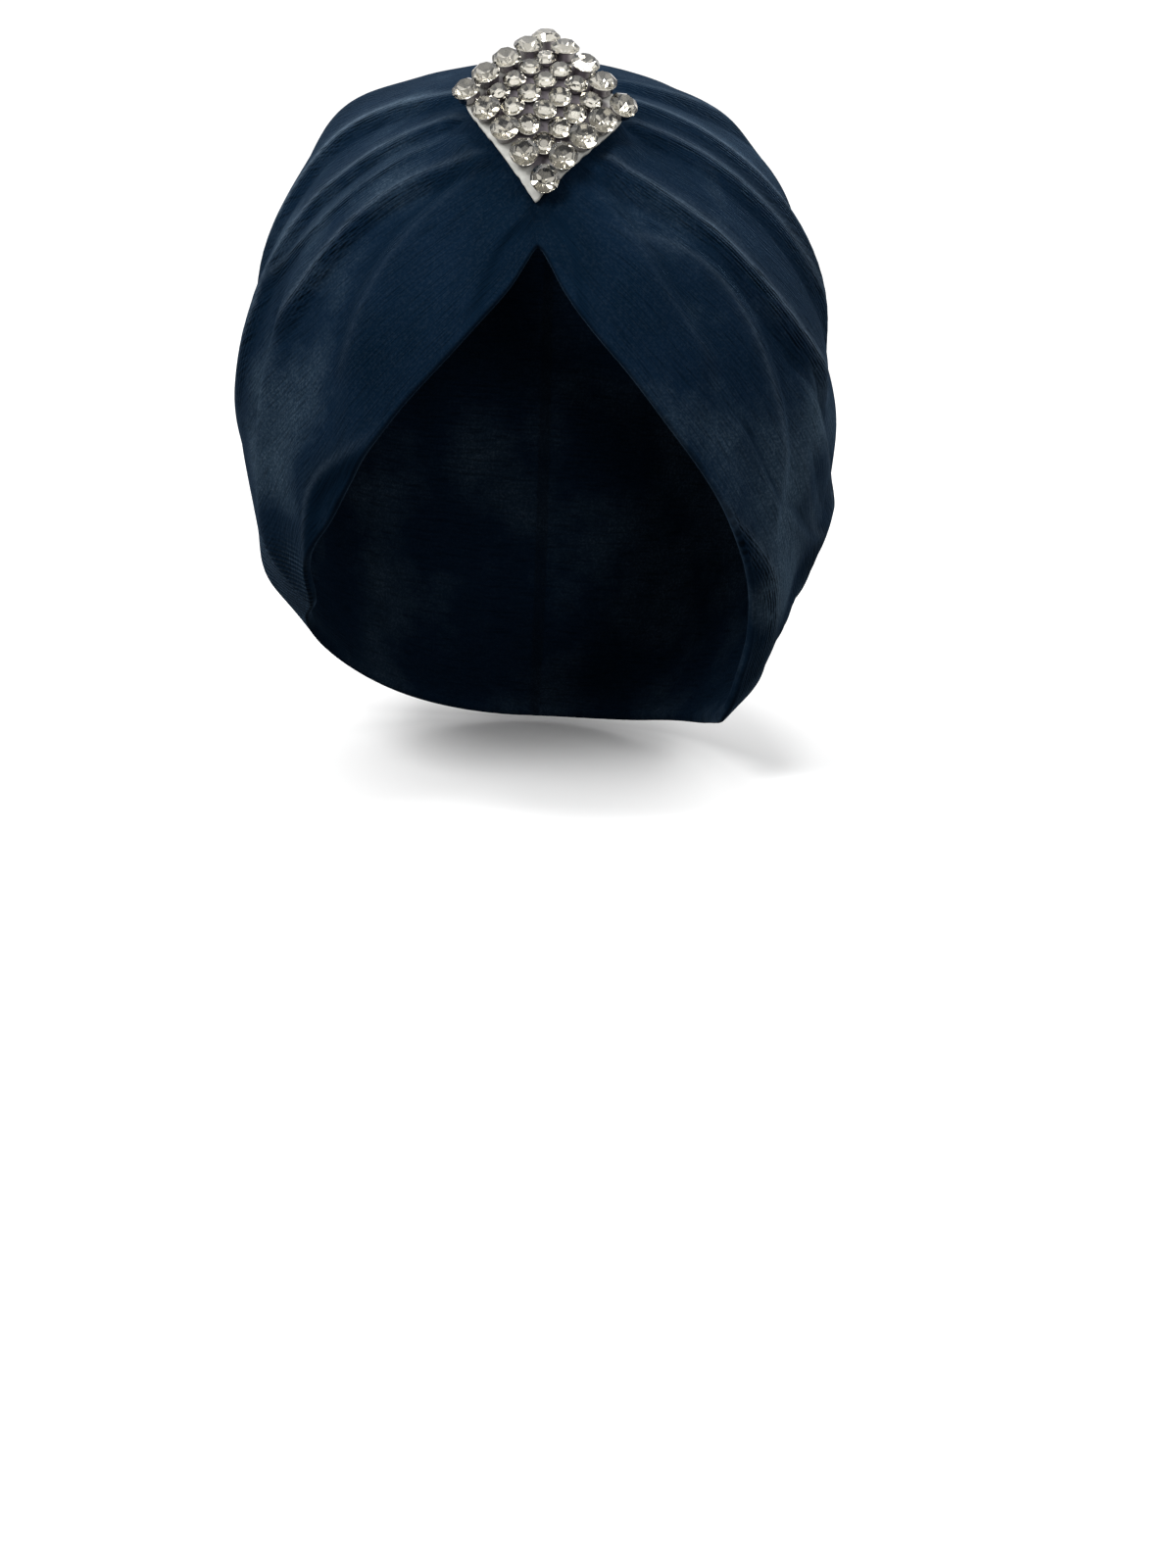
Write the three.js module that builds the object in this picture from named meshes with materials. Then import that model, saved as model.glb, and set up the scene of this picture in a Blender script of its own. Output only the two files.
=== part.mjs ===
// Wide velour headband, gathered above the forehead under a rhombus of set stones.
// Millimetres, +Z up, front toward -Y. The origin is the middle of the head that the band is worn on.
import * as THREE from "three";
import { ParametricGeometry } from "three/addons/geometries/ParametricGeometry.js";
import { mergeVertices } from "three/addons/utils/BufferGeometryUtils.js";

// Worn form of the band: a rounded head shape, measured from the origin to the cloth's outer face.
const HALF_WIDTH = 79;
const FRONT_REACH = 94;
const BACK_REACH = 98;
const TOP_REACH = 90.6;
const NAPE_REACH = 124;
const TOP_SQUARENESS = 2.15;
const NAPE_SQUARENESS = 2;
// The band is swept around an axis that leans back, so that its crown opening lies behind the top.
const AXIS_LEAN = 18;

// Cloth
const WALL = 2;
const HEM_ROLL = 0.8;
const HEM_ROLL_REACH = 6;
const EDGE_ROUND = 1;
const TUCK_REACH = 24;
const INNER_FOLD_SHARE = 0.6;

// Mesh of the wall: sections around the head, and rows across the band on its two faces.
const SECTIONS_AROUND = 72;
const FRONT_CROWDING = 1.35;
const OUTER_ROWS = 44;
const INNER_ROWS = 12;

// Edges of the band, in degrees above the leaning equator, at azimuths from the front to the back.
// Left and right are as seen from the front; tuck is how far the hem is drawn in, in millimetres.
const EDGES = [
  { azimuth: 0, hemLeft: 15.2, hemRight: 15.2, rim: 70, tuckLeft: 0, tuckRight: 0 },
  { azimuth: 1.5, hemLeft: 12.7, hemRight: 12.9, rim: 70, tuckLeft: 0, tuckRight: 0 },
  { azimuth: 4, hemLeft: 8.4, hemRight: 8.3, rim: 70, tuckLeft: 0, tuckRight: 0 },
  { azimuth: 8, hemLeft: 3.6, hemRight: 2.9, rim: 70, tuckLeft: 0, tuckRight: 0 },
  { azimuth: 14, hemLeft: -2.8, hemRight: -3.2, rim: 69.5, tuckLeft: 0, tuckRight: 0 },
  { azimuth: 22, hemLeft: -10.2, hemRight: -11.1, rim: 68.5, tuckLeft: 0, tuckRight: 0 },
  { azimuth: 31, hemLeft: -18.8, hemRight: -18.8, rim: 67.5, tuckLeft: 0, tuckRight: 0 },
  { azimuth: 41, hemLeft: -27.8, hemRight: -27.5, rim: 66.5, tuckLeft: 0, tuckRight: 0 },
  { azimuth: 49, hemLeft: -32.2, hemRight: -33.6, rim: 66, tuckLeft: 0.5, tuckRight: 0 },
  { azimuth: 57, hemLeft: -37, hemRight: -39.2, rim: 65.5, tuckLeft: 1, tuckRight: 0 },
  { azimuth: 66, hemLeft: -43, hemRight: -45.5, rim: 65, tuckLeft: 4, tuckRight: 0 },
  { azimuth: 78, hemLeft: -45, hemRight: -52.8, rim: 65, tuckLeft: 6.5, tuckRight: 0.5 },
  { azimuth: 95, hemLeft: -45, hemRight: -57.5, rim: 65, tuckLeft: 6, tuckRight: 1 },
  { azimuth: 120, hemLeft: -45.5, hemRight: -55.5, rim: 65.5, tuckLeft: 4, tuckRight: 2 },
  { azimuth: 150, hemLeft: -46, hemRight: -49.5, rim: 66, tuckLeft: 2, tuckRight: 2 },
  { azimuth: 180, hemLeft: -46, hemRight: -46, rim: 67, tuckLeft: 2, tuckRight: 2 },
];

// Folds that fan out from the gather. Each ridge runs between two azimuths on one side. Four shares of the
// band's width above the hem pull it along: start and end are on it, early and late draw it as a curve.
// It fades out over some degrees, and falls away over the given lengths above it and below it, in
// millimetres where the band is FOLD_WIDTH wide.
const FOLD_COLUMNS = [
  "side", "from", "to", "start", "early", "late", "end", "fade", "height", "above", "below",
];
const FOLDS = [
  [-1, 14, 62, 0.663, 0.748, 0.852, 0.661, 18, 2.6, 12, 5.5],
  [-1, 12, 64, 0.584, 0.626, 0.667, 0.476, 20, 2.2, 9, 5],
  [-1, 9, 44, 0.396, 0.486, 0.48, 0.412, 9, 3.2, 12, 5.5],
  [-1, 47, 71, 0.4, 0.339, 0.222, 0.129, 4, 2.4, 6, 7],
  [-1, 10, 30, 0.374, 0.333, 0.347, 0.227, 5, 2.2, 5, 13],
  [-1, 28, 47, 0.01, 0.045, 0.11, 0.05, 12, 1.8, 10, 5],
  [-1, 62, 110, 0.42, 0.41, 0.41, 0.4, 26, 1.8, 14, 14],
  [1, 18, 60, 0.79, 0.835, 0.885, 0.885, 20, 2, 8, 6],
  [1, 15, 66, 0.668, 0.736, 0.712, 0.595, 20, 2.4, 8, 6.5],
  [1, 14, 64, 0.595, 0.666, 0.636, 0.573, 20, 2.2, 9, 6.5],
  [1, 8, 62, 0.402, 0.489, 0.398, 0.431, 16, 3.2, 12, 8],
  [1, 14, 50, 0.263, 0.433, 0.327, 0.211, 7, 2.2, 6, 11],
  [1, 10, 26, 0.321, 0.235, 0.216, 0.193, 5, 1.7, 5, 12],
  [1, 55, 90, 0.352, 0.335, 0.34, 0.3, 6, 2.6, 5, 12],
  [1, 33, 80, -0.022, 0.048, 0.081, 0.061, 16, 2.4, 9, 8],
].map((row) => Object.fromEntries(FOLD_COLUMNS.map((column, i) => [column, row[i]])));
const FOLD_WIDTH = 125;
const FOLD_START_FADE = 5;
// Length of one degree around the head.
const MM_PER_DEGREE = 1.35;

// Broad swellings of the cloth: place in degrees in the leaning frame, height and spread in millimetres.
const SWELLINGS = [
  { azimuth: -67, elevation: 50.5, height: 4.4, spread: 14 },
  { azimuth: -80, elevation: 14, height: -1.6, spread: 14 },
  { azimuth: -83, elevation: -8, height: 1.6, spread: 16 },
  { azimuth: -30, elevation: 64, height: -1, spread: 18 },
  { azimuth: -102, elevation: -33, height: 2.6, spread: 9 },
  { azimuth: 40, elevation: 62, height: -0.6, spread: 20 },
  { azimuth: 75, elevation: 41, height: 1, spread: 14 },
  { azimuth: 80, elevation: 20, height: -4.8, spread: 15 },
  { azimuth: 90, elevation: -4, height: 2.6, spread: 15 },
  { azimuth: 95, elevation: -19, height: 1.9, spread: 12 },
  { azimuth: 93, elevation: -33, height: 2, spread: 8 },
  { azimuth: 93, elevation: -43, height: -2.8, spread: 7 },
  { azimuth: 97, elevation: -49, height: 2.2, spread: 8 },
];

// Applique: a stone-set rhombus on a backing that is bent over the gather.
const BEND_CENTRE_Y = -27.7;
const BEND_CENTRE_Z = 48.5;
const BEND_RADIUS = 47.5;
const BEND_MIDDLE = 48.4;
const CROSS_RADIUS = 70;
const APPLIQUE_X = 0.4;
const APPLIQUE_ROLL = -0.5;
const APPLIQUE_SKEW = 0.1;
const STONES_PER_EDGE = 5;
const INNER_PER_EDGE = 4;
const HALF_ACROSS = 18.6;
const HALF_ALONG = 23.3;
const INNER_SHARE = 0.6;
const BACKING_ACROSS = 23;
const BACKING_ALONG = 28.6;
const BACKING_SKEW = 0.06;
const BACKING_BLUNT = 0.15;
const BACKING_DROP = 2;
const BACKING_THICKNESS = 1.2;
const BACKING_GRID = 8;
const SEAT_GAP = 0.3;
const CLOTH_GAP = 0.55;
const GATHER_UPPER = { full: 0.5, none: 1, stretch: 1.35 };
const GATHER_LOWER = { full: 1, none: 2.1, stretch: 1 };
const FOLDS_CLEAR = { from: 1.28, to: 1.6 };

// Set stones: radii and heights above the backing, from the cup's foot to the cut stone's table.
const STONE_SIDES = 10;
const OUTER_STONE = { foot: 2.9, girdle: 3.65, table: 2.1, cup: 2.6, rim: 3.3, top: 4.8 };
const INNER_STONE = { foot: 2.4, girdle: 2.95, table: 1.7, cup: 1.4, rim: 1.9, top: 3.1 };

const { degToRad, radToDeg, clamp, lerp, smoothstep } = THREE.MathUtils;

const material = (color, roughness, metalness) =>
  new THREE.MeshStandardMaterial({ color, roughness, metalness });

// Smooth curve through one column of the edge table, level at the front and at the back.
function edgeValue(column, azimuth) {
  const last = EDGES.length - 1;
  const slope = (i) => {
    if (i === 0 || i === last) return 0;
    return (EDGES[i + 1][column] - EDGES[i - 1][column]) / (EDGES[i + 1].azimuth - EDGES[i - 1].azimuth);
  };
  let i = 0;
  while (i < last - 1 && EDGES[i + 1].azimuth < azimuth) i += 1;
  const step = EDGES[i + 1].azimuth - EDGES[i].azimuth;
  const t = (azimuth - EDGES[i].azimuth) / step;
  const s = 1 - t;
  return (
    (1 + 2 * t) * s * s * EDGES[i][column] +
    t * s * s * step * slope(i) +
    t * t * (3 - 2 * t) * EDGES[i + 1][column] -
    t * t * s * step * slope(i + 1)
  );
}

// Unit direction from the origin at an azimuth and an elevation of the leaning frame, in degrees.
function direction(azimuth, elevation) {
  const a = degToRad(azimuth);
  const e = degToRad(elevation);
  const d = new THREE.Vector3(Math.sin(a) * Math.cos(e), -Math.cos(a) * Math.cos(e), Math.sin(e));
  return d.applyAxisAngle(new THREE.Vector3(1, 0, 0), -degToRad(AXIS_LEAN));
}

// Distance from the origin to the plain head form along a direction.
function headReach(d) {
  const across = Math.hypot(d.x / HALF_WIDTH, d.y / (d.y < 0 ? FRONT_REACH : BACK_REACH));
  const power = d.z > 0 ? TOP_SQUARENESS : NAPE_SQUARENESS;
  const upright = Math.abs(d.z) / (d.z > 0 ? TOP_REACH : NAPE_REACH);
  return (across ** power + upright ** power) ** (-1 / power);
}

// Share and slope of a fold's ridge at an azimuth along it; past its end it levels out while it fades.
function ridgeAt(fold, along) {
  const length = fold.to - fold.from;
  const t = clamp((along - fold.from) / length, 0, 1);
  const s = 1 - t;
  const share = s ** 3 * fold.start + 3 * t * s * (s * fold.early + t * fold.late) + t ** 3 * fold.end;
  const firstHalf = lerp(fold.early - fold.start, fold.late - fold.early, t);
  const secondHalf = lerp(fold.late - fold.early, fold.end - fold.late, t);
  const climb = (3 * lerp(firstHalf, secondHalf, t)) / length;
  const past = clamp((along - fold.to) / fold.fade, 0, 1);
  return {
    share: share + climb * fold.fade * past * (1 - past / 2),
    slope: (climb * (1 - past) * FOLD_WIDTH) / MM_PER_DEGREE,
  };
}

// Height of all folds at a share of the band's width above the hem.
function foldHeight(azimuth, share) {
  let height = 0;
  for (const fold of FOLDS) {
    const along = fold.side * azimuth;
    const fadeIn = smoothstep(along, fold.from - FOLD_START_FADE, fold.from + FOLD_START_FADE);
    const fade = fadeIn * (1 - smoothstep(along, fold.to, fold.to + fold.fade));
    const ridge = ridgeAt(fold, along);
    const off = ((share - ridge.share) * FOLD_WIDTH) / Math.hypot(1, ridge.slope);
    const fall = off > 0 ? fold.above : fold.below;
    height += fade * fold.height * Math.exp(-((off / fall) ** 2));
  }
  return height;
}

function swellingHeight(d) {
  let height = 0;
  for (const swelling of SWELLINGS) {
    const apart = d.angleTo(direction(swelling.azimuth, swelling.elevation)) * HALF_WIDTH;
    height += swelling.height * Math.exp(-((apart / swelling.spread) ** 2));
  }
  return height;
}

// Applique coordinates of a direction, and how far out the backing's underside lies along it.
function backingReach(d) {
  const radius = BEND_RADIUS - BACKING_THICKNESS - CLOTH_GAP;
  const along = d.y * BEND_CENTRE_Y + d.z * BEND_CENTRE_Z;
  const flat = d.y * d.y + d.z * d.z;
  const apart = BEND_CENTRE_Y ** 2 + BEND_CENTRE_Z ** 2;
  const solve = (r) => (along + Math.sqrt(Math.max(along * along - flat * (apart - r * r), 0))) / flat;
  const across = d.x * solve(radius) - APPLIQUE_X;
  const reach = solve(radius - (across * across) / (2 * CROSS_RADIUS));
  const bend = Math.atan2(d.z * reach - BEND_CENTRE_Z, -(d.y * reach - BEND_CENTRE_Y));
  return { reach, across, up: (bend - degToRad(BEND_MIDDLE)) * BEND_RADIUS };
}

// Point of the wall: share of the width above the hem, and depth below the outer face in shares of the wall.
function wallPoint(azimuth, share, depth, overhang) {
  const left = azimuth < 0;
  const turn = Math.abs(azimuth);
  const hem = edgeValue(left ? "hemLeft" : "hemRight", turn);
  const rim = edgeValue("rim", turn);
  const tuck = edgeValue(left ? "tuckLeft" : "tuckRight", turn);
  const width = degToRad(rim - hem) * HALF_WIDTH;
  const elevation = lerp(hem, rim, share) + radToDeg(overhang / HALF_WIDTH);
  const d = direction(azimuth, elevation);
  const plain = headReach(d) + swellingHeight(d);
  const backing = backingReach(d);
  const upper = clamp(backing.up / HALF_ALONG + 0.5, 0, 1);
  const length = HALF_ALONG * lerp(GATHER_LOWER.stretch, GATHER_UPPER.stretch, upper);
  const ring = Math.abs(backing.across) / HALF_ACROSS + Math.abs(backing.up) / length;
  const full = lerp(GATHER_LOWER.full, GATHER_UPPER.full, upper);
  const none = lerp(GATHER_LOWER.none, GATHER_UPPER.none, upper);
  const gathered = d.y < 0 ? 1 - smoothstep(ring, full, none) : 0;
  const clear = d.y < 0 ? smoothstep(ring, FOLDS_CLEAR.from, FOLDS_CLEAR.to) : 1;
  const folds = foldHeight(azimuth, share) * clear;
  const drawn = tuck * clamp(1 - (share * width) / TUCK_REACH, 0, 1) ** 2;
  const outer = lerp(plain, backing.reach, gathered) - drawn;
  const roll = HEM_ROLL * Math.exp(-(((share * width) / HEM_ROLL_REACH) ** 2));
  const inner = outer - WALL - roll + folds * INNER_FOLD_SHARE;
  return d.multiplyScalar(lerp(outer + folds, inner, depth));
}

// Stations once around the wall's section: up the outer face, over the rim, down the inner face, and
// under the hem.
function wallStations() {
  const stations = [];
  for (let i = 0; i <= OUTER_ROWS; i += 1) {
    stations.push({ share: i / OUTER_ROWS, depth: 0, overhang: 0 });
  }
  stations.push({ share: 1, depth: 0.5, overhang: EDGE_ROUND });
  for (let i = INNER_ROWS; i >= 0; i -= 1) {
    stations.push({ share: i / INNER_ROWS, depth: 1, overhang: 0 });
  }
  stations.push({ share: 0, depth: 0.5, overhang: -EDGE_ROUND });
  return stations;
}

function velourBand() {
  const stations = wallStations();
  const geometry = new ParametricGeometry(
    (u, v, target) => {
      const turn = 2 * u - 1;
      const azimuth = 180 * Math.sign(turn) * Math.abs(turn) ** FRONT_CROWDING;
      const station = stations[Math.round(v * stations.length) % stations.length];
      target.copy(wallPoint(azimuth, station.share, station.depth, station.overhang));
    },
    SECTIONS_AROUND,
    stations.length,
  );
  return closedMesh("velour_band", geometry, material(0x14202c, 0.95, 0));
}

// Frame on the backing's outer face: its place and axes at a point across and along the rhombus.
function seatFrame(across, along) {
  const roll = degToRad(APPLIQUE_ROLL);
  const x = across * Math.cos(roll) + along * Math.sin(roll);
  const up = along * Math.cos(roll) - across * (Math.sin(roll) + APPLIQUE_SKEW);
  const bend = degToRad(BEND_MIDDLE) + up / BEND_RADIUS;
  const lean = x / CROSS_RADIUS;
  const straight = new THREE.Vector3(0, -Math.cos(bend), Math.sin(bend));
  const tangent = new THREE.Vector3(0, Math.sin(bend), Math.cos(bend));
  const normal = straight.clone().multiplyScalar(Math.cos(lean)).setX(Math.sin(lean));
  const side = new THREE.Vector3().crossVectors(tangent, normal);
  const radius = BEND_RADIUS - (x * x) / (2 * CROSS_RADIUS);
  const place = straight.multiplyScalar(radius);
  place.add(new THREE.Vector3(APPLIQUE_X + x, BEND_CENTRE_Y, BEND_CENTRE_Z));
  return new THREE.Matrix4().makeBasis(side, tangent, normal).setPosition(place);
}

// Bent rhombus whose side corners are trimmed blunt and hang a little.
function appliqueBacking() {
  const geometry = new THREE.BoxGeometry(2, 2, BACKING_THICKNESS, BACKING_GRID, BACKING_GRID, 1);
  const corners = geometry.getAttribute("position");
  for (let i = 0; i < corners.count; i += 1) {
    const s = corners.getX(i);
    const t = corners.getY(i);
    const corner = ((s - t) / 2) ** 4;
    const along = ((s + t) * BACKING_ALONG) / 2 - BACKING_DROP * corner;
    const blunt = 1 - BACKING_BLUNT * corner;
    const across = ((s - t) * BACKING_ACROSS * blunt) / 2 + BACKING_SKEW * along;
    const frame = seatFrame(across, along);
    const point = new THREE.Vector3(0, 0, corners.getZ(i) - BACKING_THICKNESS / 2).applyMatrix4(frame);
    corners.setXYZ(i, point.x, point.y, point.z);
  }
  return closedMesh("applique_backing", geometry, material(0xe4e2dd, 0.9, 0));
}

// A stone in its cup: lathe profile from the cup's foot to the middle of the table.
function setStone(name, size, across, along) {
  const profile = [
    new THREE.Vector2(0, SEAT_GAP),
    new THREE.Vector2(size.foot, SEAT_GAP),
    new THREE.Vector2(size.foot, size.cup),
    new THREE.Vector2(size.girdle, size.rim),
    new THREE.Vector2(size.table, size.top),
    new THREE.Vector2(0, size.top),
  ];
  const geometry = new THREE.LatheGeometry(profile, STONE_SIDES);
  geometry.rotateX(Math.PI / 2);
  geometry.applyMatrix4(seatFrame(across, along));
  return closedMesh(name, geometry, material(0xd8d4cc, 0.15, 0.6));
}

// Rhombus grid of stones; "kept" says which of its places are taken.
function stoneGrid(prefix, size, perEdge, share, kept) {
  const stones = [];
  const place = (i) => (2 * i) / (perEdge - 1) - 1;
  for (let row = 0; row < perEdge; row += 1) {
    for (let column = 0; column < perEdge; column += 1) {
      if (!kept(row, column)) continue;
      const across = ((place(column) - place(row)) * HALF_ACROSS * share) / 2;
      const along = ((place(column) + place(row)) * HALF_ALONG * share) / 2;
      stones.push(setStone(`${prefix}_${row + 1}_${column + 1}`, size, across, along));
    }
  }
  return stones;
}

function closedMesh(name, geometry, finish) {
  geometry.deleteAttribute("normal");
  geometry.deleteAttribute("uv");
  const welded = mergeVertices(geometry, 1e-3);
  welded.computeVertexNormals();
  const mesh = new THREE.Mesh(welded, finish);
  mesh.name = name;
  return mesh;
}

const lastPlace = STONES_PER_EDGE - 1;
const onBorder = (row, column) => row % lastPlace === 0 || column % lastPlace === 0;

const headband = new THREE.Group();
headband.add(velourBand());
headband.add(appliqueBacking());
headband.add(...stoneGrid("outer_stone", OUTER_STONE, STONES_PER_EDGE, 1, onBorder));
headband.add(...stoneGrid("inner_stone", INNER_STONE, INNER_PER_EDGE, INNER_SHARE, () => true));

export default headband;
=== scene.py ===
import math

import bmesh
import bpy
import numpy as np
from mathutils import Euler, Matrix, Vector, noise


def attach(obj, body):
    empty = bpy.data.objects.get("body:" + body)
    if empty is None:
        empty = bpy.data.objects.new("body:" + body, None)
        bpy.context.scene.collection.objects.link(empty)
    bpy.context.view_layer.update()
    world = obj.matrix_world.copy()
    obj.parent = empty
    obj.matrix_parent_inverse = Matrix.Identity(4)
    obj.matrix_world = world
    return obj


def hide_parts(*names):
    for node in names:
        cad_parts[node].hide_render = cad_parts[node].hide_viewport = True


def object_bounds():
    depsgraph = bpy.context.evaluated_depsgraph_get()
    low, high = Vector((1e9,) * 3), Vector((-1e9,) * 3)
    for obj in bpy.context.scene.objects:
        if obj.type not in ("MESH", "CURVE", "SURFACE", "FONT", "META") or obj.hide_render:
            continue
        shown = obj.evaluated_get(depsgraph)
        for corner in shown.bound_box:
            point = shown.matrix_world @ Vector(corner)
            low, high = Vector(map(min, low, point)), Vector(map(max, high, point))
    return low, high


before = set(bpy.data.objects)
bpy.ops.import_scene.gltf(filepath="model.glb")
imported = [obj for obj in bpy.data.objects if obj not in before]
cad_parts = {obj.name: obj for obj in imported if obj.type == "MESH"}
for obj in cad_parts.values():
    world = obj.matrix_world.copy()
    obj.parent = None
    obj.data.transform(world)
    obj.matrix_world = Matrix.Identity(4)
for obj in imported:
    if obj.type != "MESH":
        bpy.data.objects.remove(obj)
cad_low, cad_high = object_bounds()

MM = 0.001

# Worn form of the band, in millimetres from the origin to the outer face of the cloth.
HALF_WIDTH = 79.0
FRONT_REACH = 94.0
BACK_REACH = 98.0
TOP_REACH = 90.6
NAPE_REACH = 124.0
TOP_SQUARENESS = 2.15
NAPE_SQUARENESS = 2.0
AXIS_LEAN = 18.0

# Cloth: the wall and its edges in millimetres, and the flat size in metres.
WALL = 2.0
HEM_ROLL = 0.8
HEM_ROLL_REACH = 6.0
EDGE_ROUND = 1.0
TUCK_REACH = 24.0
INNER_FOLD_SHARE = 0.6
FLAT_WIDTH = 0.178

# Mesh of the wall: sections around the head, rows across its faces and round an edge, and the seams' weld.
SECTIONS_AROUND = 236
FRONT_CROWDING = 1.35
OUTER_ROWS = 330
INNER_ROWS = 70
EDGE_ROWS = 7
WELD_NEAR = 1e-6

# Edges of the band, in degrees above the leaning equator; tuck is how far the hem is drawn in.
EDGE_COLUMNS = ("azimuth", "hem_left", "hem_right", "rim", "tuck_left", "tuck_right")
EDGES = (
    (0, 15.2, 15.2, 70, 0, 0),
    (1.5, 12.7, 12.9, 70, 0, 0),
    (4, 8.4, 8.3, 70, 0, 0),
    (8, 3.6, 2.9, 70, 0, 0),
    (14, -2.8, -3.2, 69.5, 0, 0),
    (22, -10.2, -11.1, 68.5, 0, 0),
    (31, -18.8, -18.8, 67.5, 0, 0),
    (41, -27.8, -27.5, 66.5, 0, 0),
    (49, -32.2, -33.6, 66, 0.5, 0),
    (57, -37, -39.2, 65.5, 1, 0),
    (66, -43, -45.5, 65, 4, 0),
    (78, -45, -52.8, 65, 6.5, 0.5),
    (95, -45, -57.5, 65, 6, 1),
    (120, -45.5, -55.5, 65.5, 4, 2),
    (150, -46, -49.5, 66, 2, 2),
    (180, -46, -46, 67, 2, 2),
)

# Folds that fan out from the gather: side, the azimuths between which the ridge runs, four shares of the
# band's width that pull it along, the degrees over which it fades out, its height, and how far it falls
# away above and below, in millimetres where the band is FOLD_WIDTH wide. Crest is the painted highlight
# along the ridge, ribs how much the knit shows beside it, and shade the painted shade on its steep side.
FOLD_COLUMNS = (
    "side", "start_at", "end_at", "start", "early", "late", "end", "fade", "height", "above", "below",
    "crest_highlight", "ribs", "shade",
)
FOLDS = (
    (-1, 14, 62, 0.663, 0.748, 0.852, 0.661, 18, 2.6, 12, 5.5, 1, 0.5, 0.7),
    (-1, 12, 64, 0.584, 0.626, 0.667, 0.476, 20, 2.2, 9, 5, 0.6, 0.5, 0.7),
    (-1, 20, 54, 0.531, 0.553, 0.527, 0.518, 14, 0.9, 5, 3, 0.25, 0.5, 0.5),
    (-1, 9, 44, 0.396, 0.486, 0.48, 0.412, 9, 3.2, 12, 5.5, 0.45, 0.5, 0.5),
    (-1, 47, 71, 0.4, 0.339, 0.222, 0.129, 4, 2.4, 6, 7, 0.12, 0.2, 0.5),
    (-1, 10, 30, 0.374, 0.333, 0.347, 0.227, 5, 2.2, 5, 13, 0.12, 0, 1.5),
    (-1, 1, 8, 0.12, 0.155, 0.16, 0.105, 4, 1.3, 6, 4, 0, 0, 2.2),
    (-1, 28, 47, 0.01, 0.045, 0.11, 0.05, 12, 1.8, 10, 5, 0.3, 0, 2),
    (-1, 62, 110, 0.42, 0.41, 0.41, 0.4, 26, 1.8, 14, 14, 0, 0, 0),
    (1, 18, 60, 0.79, 0.835, 0.885, 0.885, 20, 2, 8, 6, 0.5, 0.5, 0.6),
    (1, 15, 66, 0.668, 0.736, 0.712, 0.595, 20, 2.4, 8, 6.5, 1, 0.8, 0.6),
    (1, 14, 64, 0.595, 0.666, 0.636, 0.573, 20, 2.2, 9, 6.5, 0.6, 0.6, 0.6),
    (1, 8, 62, 0.402, 0.489, 0.398, 0.431, 16, 3.2, 12, 8, 0.7, 0.8, 0.15),
    (1, 14, 50, 0.263, 0.433, 0.327, 0.211, 7, 2.2, 6, 11, 0.3, 0.2, 0.5),
    (1, 10, 26, 0.321, 0.235, 0.216, 0.193, 5, 1.7, 5, 12, 0.1, 0, 1.2),
    (1, 2, 7, 0.16, 0.19, 0.195, 0.1, 4, 0.8, 6, 4, 0, 0, 2.2),
    (1, 35, 50, 0.136, 0.146, 0.12, 0.12, 5, 1, 1.8, 4, 0.1, 0, 1.8),
    (1, 56, 80, 0.146, 0.169, 0.192, 0.224, 6, 0.8, 2, 4, 0.1, 0, 1.4),
    (1, 58, 84, 0.256, 0.225, 0.225, 0.25, 8, 0.8, 5, 6, 0.3, 0, 0),
    (1, 55, 90, 0.352, 0.335, 0.34, 0.3, 6, 2.6, 5, 12, 0.4, 0.6, 1),
    (1, 80, 89, 0.1, 0.12, 0.19, 0.26, 2, 1.2, 8, 2.5, 0.2, 0.3, 1.5),
    (1, 33, 80, -0.022, 0.048, 0.081, 0.061, 16, 2.4, 9, 8, 0.4, 1, 0.3),
)
FOLD_WIDTH = 125.0
FOLD_START_FADE = 5.0
FOLD_START_SHARE = 0.25
MM_PER_DEGREE = 1.35
FOLD_FOOT = 1.3

# What shows beside a ridge: the painted crest highlight, which grows along the fold, the painted shade on
# the fall in shares of its width, and the ribs in millimetres.
CREST_CORE = 1.0
CREST_SHOULDER = 3.0
SHOULDER_SHARE = 0.28
CREST_NEAR = 0.5
CREST_GROWS = 30.0
SHADE_STARTS = (0.05, 0.5)
SHADE_ENDS = (0.8, 2.2)
RIBS_START = (-0.8, 0.4)
RIBS_END = (2.5, 6.0)

# Broad swellings of the cloth: place in the leaning frame, height and spread.
SWELLING_COLUMNS = ("azimuth", "elevation", "height", "spread")
SWELLINGS = (
    (-67, 50.5, 4.4, 14),
    (-80, 14, -1.6, 14),
    (-83, -8, 1.6, 16),
    (-30, 64, -1, 18),
    (-102, -33, 2.6, 9),
    (40, 62, -0.6, 20),
    (75, 41, 1, 14),
    (80, 20, -4.8, 15),
    (90, -4, 2.6, 15),
    (95, -19, 1.9, 12),
    (93, -33, 2, 8),
    (93, -43, -2.8, 7),
    (97, -49, 2.2, 8),
)
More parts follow.
